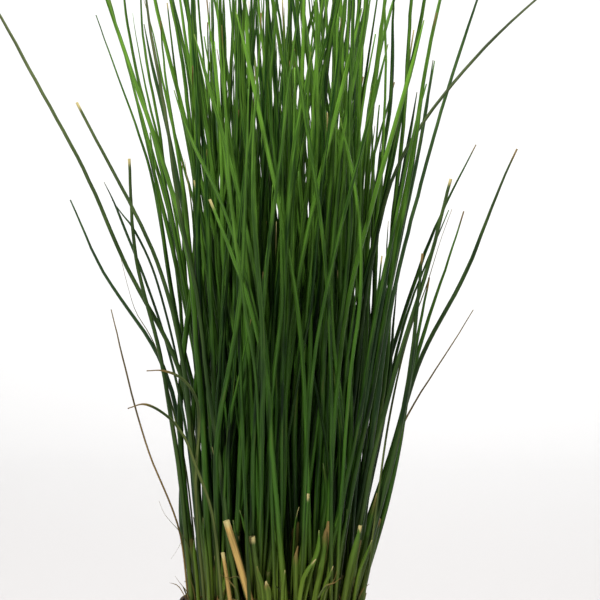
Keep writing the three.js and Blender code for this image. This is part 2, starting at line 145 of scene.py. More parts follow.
def at_pixel(px, py, depth):
    """Where the photograph's pixel lies at a depth in millimetres, which is negative in front."""
    half = PHOTO_PIXELS / 2
    across = Vector(((px - half) * METRES_PER_PIXEL, 0.0, 0.0))
    above = VIEW_UP * ((half - py) * METRES_PER_PIXEL)
    aim = VIEW_CENTRE + across + above - CAMERA_PLACE
    return np.array(CAMERA_PLACE + aim * ((depth / MM_PER_METRE - CAMERA_PLACE.y) / aim.y))


def eased(values, start, end):
    """0 at the start and 1 at the end, in a straight line between."""
    return np.clip((values - start) / (end - start), 0, 1)


def tapered(share, length, tip_width, overrun=0.0):
    """How wide a thing is along its length: 1, narrowing over the last stretch to its tip's width."""
    return np.clip((1 + overrun - share) / length, tip_width, 1)


def lengths_along(points):
    """How far each point is from the first, along the line through them."""
    steps = np.linalg.norm(np.diff(points[:, :3], axis=0), axis=1)
    return np.concatenate([[0.0], np.cumsum(steps)])


def linked(name, data):
    """A new object in the scene."""
    made = bpy.data.objects.new(name, data)
    bpy.context.scene.collection.objects.link(made)
    return made


def smooth_mesh(name, corners, faces, material):
    """A mesh that is shaded smooth all over."""
    mesh = bpy.data.meshes.new(name)
    mesh.from_pydata(corners, [], faces)
    mesh.polygons.foreach_set("use_smooth", [True] * len(faces))
    mesh.materials.append(material)
    return mesh


# Node materials

def new_material(name):
    """A material with its node tree and its shader."""
    material = bpy.data.materials.new(name)
    material.use_nodes = True
    tree = material.node_tree
    shader = tree.nodes["Principled BSDF"]
    return material, tree, shader


def node(tree, kind, inputs=(), **settings):
    """A node with its settings, and with each input linked or set to a value."""
    made = tree.nodes.new(kind)
    for key, value in settings.items():
        setattr(made, key, value)
    for key, value in dict(inputs).items():
        if isinstance(value, bpy.types.NodeSocket):
            tree.links.new(value, made.inputs[key])
        else:
            made.inputs[key].default_value = value
    return made


def maths(tree, operation, a, b=0.0, clamp=False):
    return node(tree, "ShaderNodeMath", {0: a, 1: b}, operation=operation, use_clamp=clamp).outputs[0]


def ramp(tree, value, low, high):
    """0 below low and 1 above high, with a soft step between."""
    made = node(tree, "ShaderNodeMapRange", {"Value": value, "From Min": low, "From Max": high})
    made.interpolation_type = "SMOOTHSTEP"
    return made.outputs["Result"]


def share_above(tree, value, low, high, most):
    """0 where the value is below low, and the most where it is above high."""
    return maths(tree, "MULTIPLY", ramp(tree, value, low, high), most)


def blend(tree, share, first, second):
    """The first colour where the share is 0 and the second where it is 1."""
    made = node(tree, "ShaderNodeMix", data_type="RGBA")
    for socket, value in (("Factor", share), ("A", first), ("B", second)):
        target = [s for s in made.inputs if s.name == socket and s.enabled][0]
        if isinstance(value, bpy.types.NodeSocket):
            tree.links.new(value, target)
        else:
            target.default_value = value
    return [s for s in made.outputs if s.enabled][0]


def attribute(tree, name, output="Fac"):
    return node(tree, "ShaderNodeAttribute", attribute_name=name).outputs[output]


def scene_place(tree):
    return node(tree, "ShaderNodeNewGeometry").outputs["Position"]


def noise_texture(tree, place, scale, detail):
    return node(tree, "ShaderNodeTexNoise", {"Vector": place, "Scale": scale, "Detail": detail}).outputs[0]


def set_roughness(tree, shader, value, least, extra):
    """Roughness that rises above the least, by the extra where the value is 1."""
    added = maths(tree, "MULTIPLY", value, extra)
    tree.links.new(maths(tree, "ADD", added, least), shader.inputs["Roughness"])


def set_bump(tree, shader, height, strength, distance):
    bump = node(tree, "ShaderNodeBump", {"Height": height, "Strength": strength, "Distance": distance})
    tree.links.new(bump.outputs[0], shader.inputs["Normal"])


def colour(red, green, blue):
    return (red, green, blue, 1.0)


# The darkest and the brightest colour of each thing
GREEN_TONES = (colour(0.002, 0.011, 0.001), colour(0.038, 0.104, 0.010))
DARK_GREEN_TONES = (colour(0.008, 0.024, 0.009), colour(0.044, 0.090, 0.028))
OLIVE_TONES = (colour(0.004, 0.016, 0.003), colour(0.045, 0.086, 0.018))
STRAW_TONES = (colour(0.060, 0.045, 0.012), colour(0.480, 0.310, 0.095))
DRY_STEM_TONES = (colour(0.014, 0.028, 0.005), colour(0.130, 0.160, 0.040))
FOOT_TONES = (colour(0.020, 0.034, 0.005), colour(0.120, 0.165, 0.018))
# The upper part's tones are partly the stems' own yellower green and partly painted light: the top of the
# clump is brighter where it is lit, and the stems below it are in shade.
UPPER_LIT_TONES = (colour(0.006, 0.036, 0.003), colour(0.145, 0.320, 0.032))
UPPER_LIT_OLIVE_TONES = (colour(0.034, 0.050, 0.018), colour(0.150, 0.170, 0.070))
DRY_TONES = (colour(0.050, 0.034, 0.010), colour(0.230, 0.150, 0.045))
PALE_TONES = (colour(0.200, 0.165, 0.055), colour(0.480, 0.400, 0.180))
SOIL_TONES = (colour(0.012, 0.008, 0.005), colour(0.085, 0.052, 0.030))
POT_TONES = (colour(0.014, 0.015, 0.016), colour(0.034, 0.035, 0.036))
PERLITE_TONES = (colour(0.30, 0.24, 0.20), colour(0.72, 0.66, 0.60))
FLECK = colour(0.110, 0.085, 0.022)
SOIL_GRAIN = colour(0.030, 0.020, 0.013)
POT_DUST = colour(0.110, 0.090, 0.070)

# The heights where a stem's foot ends, and where its upper part, brighter partly from painted light, starts
# and is full
FOOT_RISE = (0.055, 0.0)
UPPER_LIT_RISE = (0.10, 0.28)
UPPER_LIT_OLIVE_RISE = (0.16, 0.34)

# How much a stem's own tone counts among its two colours, and how far all stems are darkened
TONE_SHARE = 0.82
DARKENING = 0.28


def worn(tree, amount, ribs):
    """Where a stem is dry or pale: the amount along it, with an edge that the ribs break up."""
    grain = maths(tree, "MULTIPLY", ribs, 0.3)
    return ramp(tree, maths(tree, "ADD", amount, grain), low=0.45, high=0.95)


def stem_material(name, tones, roughness, upper_lit_tones, upper_lit_rise, upper_lit_share, foot_share):
    """Two tones that change along the stem, ribs, flecks, a yellower foot, an upper part whose brighter
    tones are partly painted light, and brown or pale dry parts.
    """
    material, tree, shader = new_material(name)
    skin = attribute(tree, "skin", "Vector")
    ribs = noise_texture(tree, skin, scale=1.7, detail=3.0)
    drift = noise_texture(tree, skin, scale=0.42, detail=2.0)
    rise = attribute(tree, "rise")

    rib_share = share_above(tree, ribs, low=0.38, high=0.62, most=0.44)
    drift_share = share_above(tree, drift, low=0.3, high=0.7, most=0.30)
    tone_share = maths(tree, "MULTIPLY", attribute(tree, "tone"), TONE_SHARE)
    share = maths(tree, "ADD", tone_share, maths(tree, "ADD", rib_share, drift_share))
    share = maths(tree, "SUBTRACT", share, DARKENING, clamp=True)

    living = blend(tree, share, *tones)
    # Painted light, in part: the upper part turns to brighter tones where the top of the clump is lit; the
    # rest is the stems' own yellower green.
    upper = share_above(tree, rise, *upper_lit_rise, upper_lit_share)
    living = blend(tree, upper, living, blend(tree, share, *upper_lit_tones))
    foot = share_above(tree, rise, *FOOT_RISE, foot_share)
    living = blend(tree, foot, living, blend(tree, share, *FOOT_TONES))
    flecks = share_above(tree, ribs, low=0.62, high=0.74, most=0.3)
    living = blend(tree, flecks, living, FLECK)

    brown = worn(tree, attribute(tree, "dry"), ribs)
    bleached = worn(tree, attribute(tree, "pale"), ribs)
    surface = blend(tree, brown, living, blend(tree, ribs, *DRY_TONES))
    surface = blend(tree, bleached, surface, blend(tree, ribs, *PALE_TONES))
    tree.links.new(surface, shader.inputs["Base Color"])
    set_roughness(tree, shader, maths(tree, "MAXIMUM", brown, bleached), least=roughness, extra=0.3)
    shader.inputs["Specular IOR Level"].default_value = 0.15
    set_bump(tree, shader, ribs, strength=0.5, distance=0.0004)
    return material


def soil_material():
    """Dark crumbs with a finer grain over them."""
    material, tree, shader = new_material("potting_soil")
    place = scene_place(tree)
    coarse = noise_texture(tree, place, scale=160.0, detail=5.0)
    grain = node(tree, "ShaderNodeTexVoronoi", {"Vector": place, "Scale": 520.0}).outputs["Distance"]
    crumbs = blend(tree, coarse, *SOIL_TONES)
    surface = blend(tree, ramp(tree, grain, low=0.35, high=0.75), crumbs, SOIL_GRAIN)
    tree.links.new(surface, shader.inputs["Base Color"])
    set_roughness(tree, shader, coarse, least=0.72, extra=0.25)
    height = maths(tree, "ADD", coarse, maths(tree, "MULTIPLY", grain, 0.8))
    set_bump(tree, shader, height, strength=0.8, distance=0.0012)
    return material


def pot_material():
    """Black plastic with a fine grain, scuffed and a little dusty."""
    material, tree, shader = new_material("pot_plastic")
    place = scene_place(tree)
    grain = noise_texture(tree, place, scale=900.0, detail=3.0)
    scuffs = noise_texture(tree, place, scale=45.0, detail=6.0)
    dusty = share_above(tree, scuffs, low=0.58, high=0.78, most=0.30)
    surface = blend(tree, dusty, blend(tree, scuffs, *POT_TONES), POT_DUST)
    tree.links.new(surface, shader.inputs["Base Color"])
    set_roughness(tree, shader, scuffs, least=0.36, extra=0.22)
    set_bump(tree, shader, grain, strength=0.25, distance=0.0003)
    return material


def perlite_material():
    """Pale, pitted specks."""
    material, tree, shader = new_material("perlite")
    pits = noise_texture(tree, scene_place(tree), scale=1500.0, detail=3.0)
    tree.links.new(blend(tree, pits, *PERLITE_TONES), shader.inputs["Base Color"])
    shader.inputs["Roughness"].default_value = 0.85
    return material


# Each kind of stem: its tones, roughness, upper part's tones and rise, which are partly painted light, and
# how much that and the foot count
STEM_LOOKS = {
    "stem_green": (GREEN_TONES, 0.36, UPPER_LIT_TONES, UPPER_LIT_RISE, 0.8, 0.75),
    "stem_dark_green": (DARK_GREEN_TONES, 0.38, UPPER_LIT_TONES, UPPER_LIT_RISE, 0.15, 0.4),
    "stem_olive": (OLIVE_TONES, 0.42, UPPER_LIT_OLIVE_TONES, UPPER_LIT_OLIVE_RISE, 0.9, 0.6),
    "stem_straw": (STRAW_TONES, 0.55, UPPER_LIT_TONES, UPPER_LIT_RISE, 0.0, 0.0),
    "stem_dry_brown": (DRY_STEM_TONES, 0.60, UPPER_LIT_TONES, UPPER_LIT_RISE, 0.0, 0.0),
}
MATERIALS = {slot: stem_material(slot, *looks) for slot, looks in STEM_LOOKS.items()}
MATERIALS["potting_soil"] = soil_material()
MATERIALS["pot_plastic"] = pot_material()
MATERIALS["perlite"] = perlite_material()
SLOT_OF = {row["node"]: row["material_slot"] for row in frame["record"]["subparts"]}


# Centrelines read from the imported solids

def merged_mesh(name):
    """A node's corners, with those that share a place joined, and its edges."""
    mesh = frame["nodes"][name].data
    corners = np.array([v.co for v in mesh.vertices])
    keys = np.round(corners / RING_MATCH).astype(np.int64)
    _, first, where = np.unique(keys, axis=0, return_index=True, return_inverse=True)
    where = where.reshape(-1)
    links = {tuple(sorted((where[a], where[b]))) for a, b in (e.vertices for e in mesh.edges)}
    return corners[first], [link for link in links if link[0] != link[1]]


def connected(corners, links, floor):
    """Groups of joined corners above a height. Each group is one stem."""
    group = list(range(len(corners)))

    def leader(i):
        while group[i] != i:
            group[i] = group[group[i]]
            i = group[i]
        return i

    for a, b in links:
        if corners[a][2] > floor and corners[b][2] > floor:
            group[leader(a)] = leader(b)
    groups = {}
    for i, corner in enumerate(corners):
        if corner[2] > floor:
            groups.setdefault(leader(i), set()).add(i)
    return list(groups.values())


def rings_of(corners, members):
    """The stem's level rings, lowest first, as (centre, radius across its lean)."""
    stack = sorted((corners[i] for i in members), key=lambda corner: corner[2])
    levels = [[stack[0]]]
    for below, corner in zip(stack, stack[1:]):
        if corner[2] - below[2] > RING_MATCH:
            levels.append([])
        levels[-1].append(corner)
    rings = []
    for ring in levels:
        ring = np.array(ring)
        centre = ring.mean(0)
        reach = np.linalg.norm(ring - centre, axis=1)
        rings.append((centre, float(reach.min())))
    return rings


def stems_of(name):
    """The rings of each of a node's stems. A tuft's stems part above its crown, and get a foot there."""
    corners, links = merged_mesh(name)
    floor = CROWN_TOP + CROWN_MARGIN if name.startswith(CROWN_NODE_PREFIX) else BELOW_ALL
    stems = []
    for members in connected(corners, links, floor):
        rings = rings_of(corners, members)
        below = {j for a, b in links for i, j in ((a, b), (b, a))
                 if i in members and corners[j][2] <= floor}
        if below:
            foot = corners[sorted(below)].mean(0)
            rings.insert(0, (foot, rings[0][1] * FOOT_GROWTH))
        stems.append(rings)
    stems.sort(key=lambda rings: (round(rings[0][0][0], 4), round(rings[0][0][1], 4)))
    return stems


def smooth_route(rings):
    """Closely spaced points on a smooth curve through the rings, from under the soil to the tip."""
    heights = np.array([centre[2] for centre, _ in rings])
    spots = np.array([centre[:2] for centre, _ in rings])
    radii = np.array([radius for _, radius in rings])
    slopes = np.gradient(spots, heights, axis=0)
    count = max(STEM_LEAST_POINTS, int(round((heights[-1] - UNDER_SOIL) / STEM_STEP)) + 1)
    points = []
    for z in np.linspace(UNDER_SOIL, heights[-1], count):
        k = int(np.clip(np.searchsorted(heights, z) - 1, 0, len(heights) - 2))
        span = heights[k + 1] - heights[k]
        t = (z - heights[k]) / span
        if t < 0:
            spot = spots[0] + slopes[0] * (z - heights[0])
            radius = radii[0]
        else:
            spot = (
                (2 * t**3 - 3 * t**2 + 1) * spots[k] + (t**3 - 2 * t**2 + t) * span * slopes[k]
                + (3 * t**2 - 2 * t**3) * spots[k + 1] + (t**3 - t**2) * span * slopes[k + 1])
            radius = radii[k] + (radii[k + 1] - radii[k]) * t
        points.append((spot[0], spot[1], z, radius))
    return np.array(points)


def crooked(points):
    """Small bends above the foot, from growing among others, and a slimmer upper part."""
    phases = [dice.uniform(0, math.tau) for _ in range(4)]
    short_wave, long_wave = [dice.uniform(*lengths) for lengths in CROOK_WAVES]
    made = points.copy()
    rise = points[:, 2] - points[0, 2]
    grown = eased(rise, *CROOK_RISE)
    for axis in (0, 1):
        short_bends = CROOK_SHORT_WAVE * np.sin(math.tau * rise / short_wave + phases[axis])
        long_bends = np.sin(math.tau * rise / long_wave + phases[2 + axis])
        kinks = np.array([dice.gauss(0, KINK) for _ in rise])
        made[:, axis] += grown * (CROOK_REACH * (short_bends + long_bends) + kinks)
    made[:, 3] *= 1 - UPPER_TAPER * eased(rise, *UPPER_TAPER_RISE)
    return made


# Tubes

class TubeMesh:
    """Gathers tubes into one mesh, with the attributes that the stem materials read."""

    def __init__(self):
        self.corners = []
        self.faces = []
        self.uvs = []
        self.fields = {"rise": [], "tone": [], "dry": [], "pale": []}
        self.skin = []
        self.columns = 0

    def add(self, centres, radii, tone, dry=0.0, pale=0.0, sides=STEM_SIDES, slant=0.0, flat=1.0,
            close=True):
        """A tube along centres. slant draws its upper end out to one side, and flat below 1 flattens it."""
        centres = np.asarray(centres, float)
        count = len(centres)
        start = len(self.corners)
        radii, dry, pale = (np.broadcast_to(value, count) for value in (radii, dry, pale))
        tangents = np.gradient(centres, axis=0)
        tangents /= np.linalg.norm(tangents, axis=1)[:, None]
        column = self.columns
        self.columns += 1
        side = np.cross(tangents[0], (math.sin(column), math.cos(column), SIDE_LIFT))
        lengths = lengths_along(centres)
        for k, (centre, radius, tangent) in enumerate(zip(centres, radii, tangents)):
            side = side - tangent * side.dot(tangent)
            side /= np.linalg.norm(side)
            other = np.cross(tangent, side)
            drawn = slant if k == count - 1 else 0.0
            for s in range(sides):
                angle = math.tau * s / sides
                spot = centre + radius * (math.cos(angle) * side + flat * math.sin(angle) * other)
                self.corners.append(spot + tangent * drawn * math.cos(angle))
                skin_length = lengths[k] / SKIN_REPEAT + SKIN_GAP * column
                self.skin.append((math.cos(angle), math.sin(angle), skin_length))
                self.fields["rise"].append(float(centre[2] - soil_high.z))
                self.fields["tone"].append(float(tone))
                self.fields["dry"].append(float(dry[k]))
                self.fields["pale"].append(float(pale[k]))
        along = lengths / lengths[-1]
        for k in range(count - 1):
            for s in range(sides):
                low = start + k * sides
                after = (s + 1) % sides
                self.faces.append((low + s, low + after, low + sides + after, low + sides + s))
                left, right = s / sides, (s + 1) / sides
                self.uvs.append([(column, left, along[k]), (column, right, along[k]),
                                 (column, right, along[k + 1]), (column, left, along[k + 1])])
        if close:
            top = start + (count - 1) * sides
            for ring, order, height in ((start, -1, 0.0), (top, 1, 1.0)):
                self.faces.append(tuple(ring + s for s in range(sides))[::order])
                self.uvs.append([(column, s / sides, height) for s in range(sides)][::order])

    def build(self, name, slot):
        """The piece made of all the tubes. Each tube has its own column of the bake layout."""
        mesh = bpy.data.meshes.new(name)
        mesh.from_pydata([tuple(c) for c in self.corners], [], self.faces)
        layer = mesh.uv_layers.new(name="OFBake")
        places = []
        width = 1.0 / self.columns
        for corners in self.uvs:
            for column, u, v in corners:
                across = (column + UV_GUTTER + u * (1 - 2 * UV_GUTTER)) * width
                places.extend((across, UV_MARGIN + (1 - 2 * UV_MARGIN) * v))
        layer.data.foreach_set("uv", places)
        for key, values in self.fields.items():
            mesh.attributes.new(key, "FLOAT", "POINT").data.foreach_set("value", values)
        skin = mesh.attributes.new("skin", "FLOAT_VECTOR", "POINT")
        skin.data.foreach_set("vector", np.array(self.skin).ravel())
        mesh.polygons.foreach_set("use_smooth", [len(f) == 4 for f in self.faces])
        mesh.materials.append(MATERIALS[slot])
        return finished_piece(name, mesh)


def finished_piece(name, mesh):
    """A piece of the potted rush, on its only body."""
    piece = linked(name, mesh)
    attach(piece, "root")
    return piece


# The stems of the frame's nodes

# The kinds of tip, and how likely each is on a tuft's stem, a cut stub and a stem at the clump's edge
TIP_KINDS = ("green", "brown", "pale", "bleached")
TUFT_TIPS = (0.50, 0.27, 0.13, 0.10)
BLUNT_TIPS = (0.0, 0.15, 0.85, 0.0)
EDGE_TIPS = (0.5, 0.3, 0.15, 0.05)

# The crown's height above its foot and its radius there, from below
CROWN_PROFILE = (
    (-0.0025, 0.0058), (0.0, 0.0066), (0.002, 0.0063), (0.004, 0.0054), (0.0052, 0.0036), (0.0058, 0.0012))


def near_tip(points, reach):
    """0 along a stem, rising to 1 at its tip over the last stretch."""
    lengths = lengths_along(points)
    return np.clip(1 - (lengths[-1] - lengths) / reach, 0, 1)


def random_tip(chances):
    return dice.choices(TIP_KINDS, chances)[0]


def tip_look(points, kind):
    """How dry and how pale a stem is along its length."""
    nothing = np.zeros(len(points))
    if kind == "green":
        return nothing, nothing
    if kind == "brown":
        return near_tip(points, reach=dice.uniform(0.006, 0.022)), nothing
    if kind == "pale":
        return nothing, near_tip(points, reach=dice.uniform(0.004, 0.010))
    dry = 0.7 * near_tip(points, reach=dice.uniform(0.02, 0.05))
    pale = 0.7 * near_tip(points, reach=dice.uniform(0.02, 0.05))
    return dry, pale


def add_sheath(tubes, points):
    """A papery sheath round a stem's foot, drawn out to a point at one side."""
    rise = dice.uniform(*SHEATH_RISE)
    part = points[points[:, 2] < points[0, 2] + rise + SOIL_DEPTH]
    if len(part) < SHEATH_LEAST_POINTS:
        return
    share = np.linspace(0, 1, len(part))
    growth = np.linspace(*SHEATH_GROWTH, len(part))
    growth[-1] += dice.uniform(0.05, 0.25)
    if dice.random() < BROWN_SHEATH_SHARE:
        dry = 0.15 + 0.5 * share**2
        pale = np.zeros(len(part))
    else:
        dry = 0.25 * (1 - share)
        pale = dice.uniform(0.2, 0.8) * share**2
    tubes.add(part[:, :3], part[:, 3] * growth, dice.uniform(0.3, 1.0), dry, pale,
              slant=dice.uniform(*SHEATH_POINT) / 2, close=False)


def add_crown(tubes, points_of_stems):
    """The rough knot of root that a tuft's stems stand in."""
    middle = np.mean([points[0, :2] for points in points_of_stems], axis=0)
    centres = [(middle[0], middle[1], FOOT_Z + height) for height, _ in CROWN_PROFILE]
    radii = [radius for _, radius in CROWN_PROFILE]
    tubes.add(centres, radii, tone=0.1, dry=0.55, sides=16)


WISP_THINNING = 0.75
SINGLE_THINNING = 0.16
SINGLE_THINNING_RISE = (0.05, 0.13)
EDGE_TONES = (0.25, 0.7)

# How bright a single stem is, from 0 to 1, and its kind of tip
SINGLE_LOOKS = {
    "long_arching_stem_left": (0.75, "green"),
    "blunt_arching_stem_left": (0.70, "pale"),
    "drooping_stem_left": (0.45, "green"),
    "broad_stem_left": (0.75, "green"),
    "short_stem_left": (0.65, "pale"),
    "dry_wisp_left": (0.10, "green"),
    "dry_wisp_right": (0.12, "green"),
    "outer_arching_stem_right": (0.45, "brown"),
    "blunt_stem_right": (0.65, "pale"),
    "upright_stem_right": (0.35, "brown"),
    "bright_stem_front": (1.0, "pale"),
    "straw_stub": (0.80, "pale"),
    "olive_stub": (0.75, "pale"),
    "green_stub": (0.90, "pale"),
    "orange_stub": (0.40, "brown"),
    "light_stub": (0.90, "pale"),
    "flat_cut_stub_right": (0.70, "brown"),
    "yellow_stub_left": (0.60, "pale"),
}


def add_stem(tubes, points, tip_kind, tone, sides=STEM_SIDES, sheathed=False):
    """One stem with its tip, and with a sheath round its foot if it has one."""
    dry, pale = tip_look(points, tip_kind)
    tubes.add(points[:, :3], points[:, 3], tone, dry, pale, sides=sides)
    if sheathed:
        add_sheath(tubes, points)


def random_tone():
    """Mostly dark, now and then a bright stem."""
    return dice.random() ** 1.5


def resampled(points, heights):
    """x and y of a stem at set heights, or nothing above its tip."""
    spots = np.stack([np.interp(heights, points[:, 2], points[:, axis]) for axis in (0, 1)], axis=1)
    spots[heights > points[-1, 2]] = np.nan
    return spots


# The route of every stem in the solids, and where these and the young stems are at set heights, by which a
# young stem finds room
GRID = np.arange(CROWN_TOP, cad_high.z, GRID_STEP)
routes = {}
taken = []
for name in sorted(frame["nodes"]):
    if name not in ("pot", "soil") and not name.endswith("_leaf"):
        routes[name] = [crooked(smooth_route(rings)) for rings in stems_of(name)]
        taken.extend(resampled(points, GRID) for points in routes[name])


def young_route(parents):
    """A fine stem that grows between two others of its tuft, or nothing where it would be too short."""
    first, second = dice.sample(parents, 2)
    share = dice.uniform(*YOUNG_PLACE)
    top = min(first[-1, 2], second[-1, 2])
    tip = min(top - YOUNG_TIP_BELOW, dice.uniform(FOOT_Z + YOUNG_LOWEST_TIP, top + YOUNG_TIP_SPREAD))
    heights = np.arange(UNDER_SOIL, tip, STEM_STEP)
    if len(heights) < YOUNG_LEAST_POINTS:
        return None
    centres = resampled(first, heights) * (1 - share) + resampled(second, heights) * share
    rise = heights - heights[0]
    lean = np.array([dice.uniform(-1, 1), dice.uniform(-1, 1)]) * YOUNG_LEAN
    centres = centres + rise[:, None] * lean * np.clip(rise / YOUNG_LEAN_RISE, 0, 1)[:, None]
    centres = centres - centres[-1] * dice.uniform(0, YOUNG_INWARD) * (rise / rise[-1])[:, None] ** 2
    width = dice.uniform(*YOUNG_WIDTH) * first[0, 3]
    radii = width * np.clip((rise[-1] - rise) / YOUNG_TIP_LENGTH + YOUNG_TIP_WIDTH, 0, 1)
    return crooked(np.column_stack([centres, heights, radii]))


def room_round(points):
    """How far a stem is from its nearest neighbours on average. What is over ROOMY counts as that."""
    apart = np.linalg.norm(np.array(taken) - resampled(points, GRID), axis=2)
    near = np.nanmin(np.where(np.isfinite(apart), apart, FAR_AWAY), axis=0)
    near = near[near < FAR_AWAY]
    return float(np.mean(np.minimum(near, ROOMY))) if len(near) else ROOMY


def young_stem(parents):
    """The route with most room among several tries. It then takes its place."""
    tries = [young_route(parents) for _ in range(YOUNG_TRIES)]
    best = max((points for points in tries if points is not None), key=room_round, default=None)
    if best is not None:
        taken.append(resampled(best, GRID))
    return best


def dressed_tuft(name):
    """A tuft's crown and main stems, with young stems between them."""
    tubes = TubeMesh()
    stems = routes[name]
    add_crown(tubes, stems)
    for points in stems:
        is_stub = points[-1, 2] < FOOT_Z + STUB_HEIGHT
        add_stem(tubes, points, random_tip(BLUNT_TIPS if is_stub else TUFT_TIPS), random_tone(),
                 sheathed=not is_stub and dice.random() < SHEATH_SHARE)
    parents = [points for points in stems if points[-1, 2] > FOOT_Z + YOUNG_LEAST_PARENT]
    for _ in range(YOUNG_STEMS):
        points = young_stem(parents)
        if points is not None:
            add_stem(tubes, points, random_tip(TUFT_TIPS), random_tone(), YOUNG_SIDES,
                     sheathed=dice.random() < YOUNG_SHEATH_SHARE)
    piece = tubes.build(name + "_stems", SLOT_OF[name])
    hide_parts(name)


def dressed_single(name):
    """A single stem or stub, drawn thinner than its solid, a wisp most of all."""
    tubes = TubeMesh()
    points = routes[name][0]
    if "_wisp_" in name:
        points[:, 3] *= WISP_THINNING
    else:
        rise = points[:, 2] - points[0, 2]
        points[:, 3] *= 1 - SINGLE_THINNING * eased(rise, *SINGLE_THINNING_RISE)
    random_look = (dice.uniform(*EDGE_TONES), random_tip(EDGE_TIPS))
    tone, tip_kind = SINGLE_LOOKS.get(name, random_look)
    add_stem(tubes, points, tip_kind, tone, SINGLE_SIDES)
    piece = tubes.build(name + "_stem", SLOT_OF[name])
    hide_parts(name)


# The two dead leaves that bend over, along the same routes as their solids, in millimetres. A route starts
# under the soil's surface.

BENT_LEAF_ROUTES = {
    "level_dry_leaf": ((-33, -27, None), (-37, -44, 160), (-36, -52, 205), (-43, -54, 216), (-52, -55, 220),
                       (-60, -56, 220)),
    "curled_dry_leaf": ((-24, -38, None), (-29, -46, 150), (-37, -52, 175), (-42, -54, 188), (-50, -55, 198),
                        (-61, -56, 204), (-69, -57, 202)),
}
BENT_LEAF_POINTS = 70
BENT_LEAF_HALF_WIDTH = 0.0009


def catmull_rom(points, count):
    """Evenly spaced points on a centripetal curve through the given ones."""
    points = [np.array(p, float) for p in points]
    ends = [2 * points[0] - points[1], *points, 2 * points[-1] - points[-2]]
    fine = []
    for a, b, c, d in zip(ends, ends[1:], ends[2:], ends[3:]):
        gaps = [math.sqrt(np.linalg.norm(q - p)) for p, q in ((a, b), (b, c), (c, d))]
        t0, t1, t2, t3 = np.concatenate([[0.0], np.cumsum(gaps)])
        t = np.linspace(t1, t2, CURVE_STEPS, endpoint=False)[:, None]
        ab = a + (b - a) * (t - t0) / (t1 - t0)
        bc = b + (c - b) * (t - t1) / (t2 - t1)
        cd = c + (d - c) * (t - t2) / (t3 - t2)
        abc = ab + (bc - ab) * (t - t0) / (t2 - t0)
        bcd = bc + (cd - bc) * (t - t1) / (t3 - t1)
        fine.extend(abc + (bcd - abc) * (t - t1) / (t2 - t1))
    fine.append(points[-1])
    fine = np.array(fine)
    lengths = lengths_along(fine)
    even = np.linspace(0, lengths[-1], count)
    return np.stack([np.interp(even, lengths, fine[:, axis]) for axis in range(3)], axis=1)


def dressed_leaf(name):
    """A flattened blade with a brown tip."""
    route = []
    for x, y, z in BENT_LEAF_ROUTES[name]:
        height = UNDER_SOIL if z is None else z / MM_PER_METRE
        route.append((x / MM_PER_METRE, y / MM_PER_METRE, height))
    centres = catmull_rom(route, BENT_LEAF_POINTS)
    share = np.linspace(0, 1, BENT_LEAF_POINTS)
    narrowing = (1 - 0.3 * share) * tapered(share, length=0.08, tip_width=0.45)
    tubes = TubeMesh()
    tubes.add(centres, BENT_LEAF_HALF_WIDTH * narrowing, tone=0.35, dry=eased(share, 0.86, 0.96), flat=0.4)
    piece = tubes.build(name + "_blade", SLOT_OF[name])
    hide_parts(name)


# Short blades at the foot, hair-thin dead stems, and thin stems at the sides and across the front. Each
# route starts at the tip, as pixels of the photograph, and goes down to the soil at the depth given. Depths
# and half widths are millimetres.

FOOT_BLADES = (
    # route in pixels from the tip down, depth, half width, tone, dryness, paleness
    (((323, 463), (327, 492), (322, 530), (309, 598)), -38, 1.5, 0.6, 0.4, 0.3),
    (((308, 494), (309, 517), (303, 547), (293, 598)), -42, 1.6, 1.0, 0.0, 0.6),
    (((344, 489), (342, 507), (335, 533), (322, 598)), -40, 1.7, 0.8, 0.3, 0.3),
    (((331, 521), (327, 529), (324, 549), (312, 598)), -44, 1.6, 0.9, 0.9, 0.5),
    (((319, 530), (318, 548), (311, 570), (300, 598)), -46, 1.4, 1.0, 0.0, 0.5),
    (((299, 507), (296, 520), (294, 545), (290, 598)), -39, 1.1, 0.7, 0.2, 0.8),
    (((271, 518), (275, 532), (281, 553), (287, 598)), -44, 1.3, 0.8, 0.1, 0.6),
    (((282, 504), (279, 515), (277, 540), (279, 598)), -40, 1.2, 0.7, 0.0, 0.5),
    (((239, 508), (244, 524), (252, 556), (262, 598)), -41, 1.5, 0.9, 0.1, 0.5),
    (((298, 546), (296, 558), (296, 575), (297, 598)), -47, 1.4, 0.6, 0.8, 0.2),
    (((316, 559), (309, 568), (303, 580), (297, 598)), -49, 1.2, 0.9, 0.0, 0.9),
    (((347, 509), (346, 522), (342, 540), (333, 598)), -39, 1.5, 0.7, 0.1, 0.4),
    (((360, 526), (357, 541), (350, 566), (341, 598)), -35, 1.8, 1.0, 0.1, 0.4),
    (((377, 493), (374, 506), (366, 540), (351, 598)), -28, 1.4, 0.6, 0.6, 0.4),
    (((372, 540), (366, 555), (359, 573), (352, 598)), -33, 1.3, 0.8, 0.2, 0.6),
    (((212, 447), (216, 464), (222, 494), (233, 598)), -37, 1, 0.5, 0.3, 0.6),
    (((266, 581), (267, 588), (268, 594), (268, 599)), -49, 1.8, 0.5, 0.7, 0.9),
    (((203, 518), (204, 535), (207, 560), (210, 598)), -34, 1.2, 0.7, 0.0, 0.5),
    (((194, 540), (195, 556), (197, 575), (199, 598)), -26, 1.2, 0.9, 0.0, 0.4),
    (((257, 566), (259, 575), (262, 586), (265, 599)), -48, 1.2, 0.6, 0.5, 0.4),
    (((333, 566), (330, 574), (325, 585), (319, 599)), -46, 1.2, 0.8, 0.2, 0.8),
    (((285, 570), (284, 580), (283, 590), (283, 599)), -49, 1.3, 0.7, 0.4, 0.6),
    (((233, 520), (236, 540), (242, 566), (252, 598)), -40, 1.3, 0.5, 0.2, 0.4),
)
FOOT_BLADE_POINTS = 18
